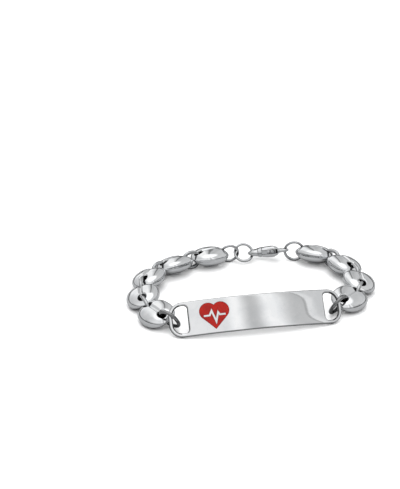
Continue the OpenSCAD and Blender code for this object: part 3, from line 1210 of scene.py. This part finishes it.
@dataclass
class LobsterClasp:
    """Lobster clasp: hooked body with an eye, and the lever on its pin."""

    length: float = 12.5
    width: float = 4.9
    thick: float = 3.4
    eye_radius: float = 1.6
    eye_hole: float = 1.1
    wall: float = 0.8
    start: Triple = (1.22974, -22.8211, 0)
    hook_from: Triple = (-0.337614, 46.4598, 2.7859)
    hook_to: Triple = (9.4603, 47.0441, 3.48237)
    hook_reach: float = 1.48
    lean: float = 70.0
    blank_depth: float = 2.0
    edge: float = 0.92
    edge_steps: int = 9
    slices: int = 50
    waist_at: float = 0.78
    waist_half: float = 0.12
    waist: float = 0.2
    taper: Table = (
        (0, 0.34), (0.16, 0.55), (0.34, 0.84), (0.5, 0.97), (0.62, 0.98),
        (0.7, 0.78), (0.77, 0.36), (1, 0.30))
    window: Pair = (-2.2, -0.1)
    window_walls: float = 1.25
    mouth: Pair = (-0.62, 0.75)
    mouth_floor: float = 0.9
    room: Triple = (-0.1, -0.8, 0.3)
    room_half: float = 0.65
    room_radius: float = 0.9
    pin: Pair = (8.1, 0.75)
    pin_radius: float = 0.35
    pin_length: float = 2.9
    pin_edge: float = 0.1
    pin_hole: float = 0.49
    tip: Pair = (3.5, 1.75)
    lever_radius: float = 0.75
    tip_radius: float = 0.48
    lever_thick: float = 1.0
    lever_edge: float = 0.22
    bulges: tuple[Triple, ...] = ((5.7, 1.42, 0.70), (7.0, 1.15, 0.78))
    tab: Triple = (-0.9, 1.05, 0.7)
    tab_root: Triple = (-0.6, 0.2, 0.5)
    gate_gap: float = 0.12
    gate_edge: float = 0.07
    gate_edges_past: float = 0.9
    sharp: float = 38
    # the clasp's painted shade darkens the walls of its slot and the lever's
    # sides
    steel: Steel = Steel("clasp_polish", tint=(0.74, 0.745, 0.75),
                         dull_tint=(0.68, 0.69, 0.70), shade_reach=1.2,
                         shade_from=0.42, shade_to=0.95)
    lever_steel: Steel = replace(steel, name="lever_polish", smooth=0.06,
                                 tint=(0.66, 0.665, 0.67),
                                 dull_tint=(0.60, 0.61, 0.62))

    def place(self) -> Matrix:
        """Finds the matrix from the clasp's frame, in mm, to the row frame.

        Returns:
            The matrix, x along the clasp and z through its thickness.
        """
        one, two = Vector(self.hook_from), Vector(self.hook_to)
        along = (two - one).normalized()
        up = Vector((0, 0, 1))
        up = (up - up.dot(along) * along).normalized()
        lean = math.radians(self.lean)
        across = math.cos(lean) * up + math.sin(lean) * along.cross(up)
        through = along.cross(across)
        turn = Matrix((along, across, through)).transposed().to_4x4()
        origin = Vector(self.start) + one - self.hook_reach * along
        return Matrix.Scale(MM, 4) @ Matrix.Translation(origin) @ turn

    def thickness(self, x: float) -> float:
        """Finds the share of the full thickness at one place.

        Args:
            x: distance from the hook's end.

        Returns:
            The share, 0 to 1.
        """
        share = x / self.length
        for (a, low), (b, high) in zip(self.taper, self.taper[1:]):
            if share <= b:
                t = max(0.0, (share - a) / (b - a))
                return low + (high - low) * t * t * (3 - 2 * t)
        return self.taper[-1][1]

    def body_blank(self) -> Mesh:
        """Makes the rounded outer form of the body.

        Returns:
            The form without its openings.
        """
        hook = self.width / 2
        bm = Bench.bar([(hook, 0, hook), (self.length - self.eye_radius, 0,
                                          self.eye_radius)],
                       self.blank_depth)
        Bench.round_edges(bm, self.edge, self.edge_steps)
        Bench.slice_up(bm, 0, [self.length * i / self.slices
                               for i in range(1, self.slices)])
        Bench.slice_up(bm, 1, [0.0])
        for vert in bm.verts:
            x = vert.co.x
            away = abs(x / self.length - self.waist_at) / self.waist_half
            vert.co.z *= self.thickness(x) * self.thick / self.blank_depth
            vert.co.y *= 1 - self.waist * max(0.0, 1 - away * away)
        Bench.weld(bm)
        return bm

    @property
    def mouth_ends(self) -> Pair:
        """Where the mouth begins and ends along the body."""
        return self.tip[0] + self.mouth[0], self.tip[0] + self.mouth[1]

    def by_pin(self, disc: Triple) -> Triple:
        """Counts a disc's place from the pin."""
        return (self.pin[0] + disc[0], self.pin[1] + disc[1], disc[2])

    def build_body(self) -> None:
        """Makes the body with its hook, eye, mouth, slot and pin."""
        hook, deep = self.width / 2, self.thick + 1
        low, high = self.mouth_ends
        window = Bench.bar([
            (hook, 0, hook - self.wall),
            (self.pin[0] + self.window[0], self.window[1],
             hook - self.window_walls * self.wall)], deep)
        eye = Bench.bar([(self.length - self.eye_radius, 0, self.eye_hole)],
                        deep)
        mouth = Bench.block((low, self.mouth_floor, -deep),
                            (high, self.width, deep))
        room = Bench.block(
            (high + self.room[0], self.room[1], -self.room_half),
            (self.pin[0] + self.room[2], self.width, self.room_half))
        back = Bench.bar([(*self.pin, self.room_radius),
                          (self.pin[0], hook, self.room_radius)],
                         2 * self.room_half)
        bm = Bench.carve(self.body_blank(), [window, eye, mouth, room, back])
        pin = Bench.bar([(*self.pin, self.pin_radius)], self.pin_length)
        Bench.round_edges(pin, self.pin_edge, 3, clamp=False)
        bm = Bench.carve(bm, [pin], "UNION")
        Bench.weld(bm)
        Bench.finish(bm, "claw_body", self.place(), (self.steel,),
                     self.sharp, Slot.CLASP, "clasp_body")

    def build_lever(self) -> None:
        """Makes the lever with its thumb tab, gate tip and pin hole."""
        arm = Bench.bar([(*self.pin, self.lever_radius), *self.bulges,
                         (*self.tip, self.tip_radius)], self.lever_thick)
        tab = Bench.bar([self.by_pin(self.tab), self.by_pin(self.tab_root)],
                        self.lever_thick)
        bm = Bench.carve(arm, [tab], "UNION")
        hole = Bench.bar([(*self.pin, self.pin_hole)], 2 * self.lever_thick)
        bm = Bench.carve(bm, [hole])
        Bench.weld(bm)
        Bench.join_flat(bm)
        Bench.round_edges(bm, self.lever_edge, 4)
        low, high = self.mouth_ends
        gate = Bench.carve(self.body_blank(), [Bench.block(
            (low + self.gate_gap, self.tip[1] - self.tip_radius, -self.thick),
            (high - self.gate_gap, self.width, self.thick))], "INTERSECT")
        Bench.weld(gate)
        Bench.round_edges(gate, self.gate_edge, 2, self.gate_edges_past)
        bm = Bench.carve(bm, [gate], "UNION")
        Bench.weld(bm)
        Bench.finish(bm, "claw_lever", self.place(), (self.lever_steel,),
                     self.sharp, Slot.LEVER, "clasp_lever", Body.LEVER)

    def build(self) -> None:
        """Makes both pieces of the clasp."""
        self.build_body()
        self.build_lever()


@dataclass(frozen=True)
class SoftLight:
    """A lamp that points from its place at the frame's origin."""

    name: str
    kind: str
    place: Triple
    size: float
    power: float

    def hang(self) -> None:
        """Hangs the lamp, which reflections don't show."""
        data = bpy.data.lights.new(self.name, self.kind)
        data.energy = self.power
        if self.kind == "AREA":
            data.size = self.size
        else:
            data.angle = self.size
        obj = bpy.data.objects.new(self.name, data)
        obj.location = self.place
        obj.rotation_euler = Vector(self.place).to_track_quat(
            "Z", "Y").to_euler()
        obj.visible_glossy = False
        bpy.context.scene.collection.objects.link(obj)


@dataclass
class Studio:
    """White sweep, surrounding soft light and the camera.

    The tables of the light give a brightness by degrees round the front, by
    the direction's x, and by degrees of height in front and behind.
    """

    target: Triple = (-14.97, 35.98, 0.0)
    distance: float = 525.0
    elevation: float = 24.3
    lens: float = 124.8
    sensor: float = 36.0
    nearest: float = 0.01
    sweep: float = 3.0
    sweep_parts: int = 8
    lamps: tuple[SoftLight, ...] = (
        SoftLight("top_softbox", "AREA", (-0.05, 0.20, 0.80), 0.7, 3.2),
        SoftLight("front_fill", "SUN", (0.15, -0.80, 0.85),
                  math.radians(60), 2.0))
    cool: Triple = (1.0, 1.006, 1.012)
    stripes: Table = (
        (-180, 0.55), (-100, 0.6), (-60, 0.75), (-30, 0.84), (-11, 0.86),
        (0, 0.84), (9, 0.84), (15, 1.02), (18.5, 0.84), (22.3, 0.62),
        (26, 0.56), (29.7, 0.69), (33.3, 0.91), (37, 1.05), (40.5, 0.95),
        (44, 0.78), (47.5, 0.63), (51, 0.56), (60, 0.56), (100, 0.5),
        (180, 0.5))
    walls: Table = (
        (-1, 0.6), (-0.62, 0.72), (-0.46, 1.0), (-0.24, 1.25),
        (-0.12, 0.85), (-0.05, 0.6), (-0.02, 0.25), (0.02, 0.25),
        (0.05, 0.56), (0.12, 0.52), (0.25, 0.62), (0.45, 0.6), (0.8, 0.65),
        (1, 0.7))
    front_heights: Table = (
        (-90, 0.9), (-2, 0.9), (0, 0.10), (6, 0.12), (10, 0.45), (16, 0.6),
        (23, 0.85), (30, 1.0), (90, 1.0))
    back_heights: Table = (
        (-90, 0.9), (-2, 0.9), (0, 0.12), (5, 0.15), (9, 0.8), (14, 1.0),
        (22, 0.95), (30, 1.0), (38, 1.3), (52, 1.4), (90, 1.4))
    slant: float = 0.46
    slant_level: float = 38.0
    panel_edge: Pair = (57.0, 57.8)
    panel_fade: Pair = (59, 62)
    panel_light: Triple = (0.80, 0.805, 0.81)
    panel_dim: Triple = (0.66, 0.665, 0.67)
    line_at: float = 56.7
    line_half: Pair = (0.1, 0.9)
    line_share: float = 0.76
    wall_blend: float = 0.15
    roof_edge: Pair = (56, 70)
    roof: Triple = (1.25, 1.26, 1.27)
    paper: Paper = Paper("white_paper")

    def floor(self) -> None:
        """Lays the sweep under the bracelet."""
        bm = bmesh.new()
        bmesh.ops.create_grid(bm, x_segments=self.sweep_parts,
                              y_segments=self.sweep_parts,
                              size=self.sweep / 2)
        obj = Bench.to_object(bm, "white_sweep")
        obj.data.materials.append(self.paper.build())

    def camera(self) -> None:
        """Sets the camera at the photograph's viewing angle."""
        rise = math.radians(self.elevation)
        back = Vector((0, -math.cos(rise), math.sin(rise)))
        data = bpy.data.cameras.new("photo_camera")
        data.sensor_width = self.sensor
        data.lens = self.lens
        data.clip_start = self.nearest
        obj = bpy.data.objects.new("photo_camera", data)
        obj.location = Vector(self.target) * MM + back * self.distance * MM
        obj.rotation_euler = (-back).to_track_quat("-Z", "Y").to_euler()
        bpy.context.scene.collection.objects.link(obj)
        bpy.context.scene.camera = obj

    def by_angle(self, nodes: NodeTree, angle: Socket,
                 table: Table) -> Socket:
        """Looks up brightness by an angle of the direction.

        Args:
            nodes: the world's tree.
            angle: the angle in degrees, -180 to 180.
            table: degrees and brightness.

        Returns:
            A cool grey of that brightness.
        """
        place = nodes.math("ADD", nodes.math("DIVIDE", angle, 360.0), 0.5)
        node = nodes.add("ShaderNodeValToRGB", Fac=place)
        node.color_ramp.interpolation = "CARDINAL"
        stops = node.color_ramp.elements
        stops.remove(stops[-1])
        for number, (degree, value) in enumerate(table):
            at = (degree + 180) / 360
            stop = stops.new(at) if number else stops[0]
            stop.position = at
            stop.color = (*(value * part for part in self.cool), 1)
        return node.outputs[0]

    def front_light(self, nodes: NodeTree, front: Socket,
                    rise: Socket) -> Socket:
        """Wires the stripes, and the panel with its dark line.

        Args:
            nodes: the world's tree.
            front: degrees round the front.
            rise: degrees of height.

        Returns:
            The light from the front.
        """
        stripes = self.by_angle(nodes, front, self.stripes)
        slant = nodes.math("ADD", front, nodes.math(
            "MULTIPLY", nodes.math("SUBTRACT", rise, self.slant_level),
            self.slant))
        grey = nodes.mix(nodes.spread(slant, *self.panel_fade),
                         self.panel_light, self.panel_dim)
        light = nodes.mix(nodes.spread(slant, *self.panel_edge), stripes,
                          grey)
        line = nodes.math("ABSOLUTE",
                          nodes.math("SUBTRACT", slant, self.line_at))
        light = nodes.mix(1.0, light, nodes.spread(
            line, *self.line_half, self.line_share, 1), "MULTIPLY")
        return nodes.mix(1.0, light, self.by_angle(
            nodes, rise, self.front_heights), "MULTIPLY")

    def surround(self) -> None:
        """Builds the bright tent as a world, by direction alone."""
        world = bpy.data.worlds.new("light_tent")
        bpy.context.scene.world = world
        nodes = NodeTree.of(world)
        way = nodes.add("ShaderNodeTexCoord").outputs["Generated"]
        x, y, z = nodes.add("ShaderNodeSeparateXYZ", Vector=way).outputs
        degree = 180 / math.pi
        rise = nodes.math("MULTIPLY", nodes.math("ARCSINE", z), degree)
        front = nodes.math("MULTIPLY", nodes.math(
            "ARCTAN2", x, nodes.math("MULTIPLY", y, -1.0)), degree)
        walls = self.by_angle(nodes, nodes.math("MULTIPLY", x, 180.0),
                              tuple((180 * at, v) for at, v in self.walls))
        walls = nodes.mix(1.0, walls, self.by_angle(
            nodes, rise, self.back_heights), "MULTIPLY")
        tent = nodes.mix(nodes.spread(y, -self.wall_blend, self.wall_blend),
                         self.front_light(nodes, front, rise), walls)
        tent = nodes.mix(nodes.spread(rise, *self.roof_edge), tent,
                         self.roof)
        light = nodes.add("ShaderNodeBackground", Color=tent, Strength=1.0)
        nodes.add("ShaderNodeOutputWorld", Surface=light.outputs[0])

    def build(self) -> None:
        """Sets up the whole studio."""
        self.floor()
        self.camera()
        for lamp in self.lamps:
            lamp.hang()
        self.surround()
        bpy.context.scene.view_settings.view_transform = "Standard"


def main() -> None:
    """Builds every piece in turn."""
    logging.basicConfig(level=logging.INFO, format="%(name)s: %(message)s")
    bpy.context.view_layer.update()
    for part in (Studio, IdPlate, PuffedLinks, WireRings, LobsterClasp):
        part().build()


if __name__ == "__main__":
    main()
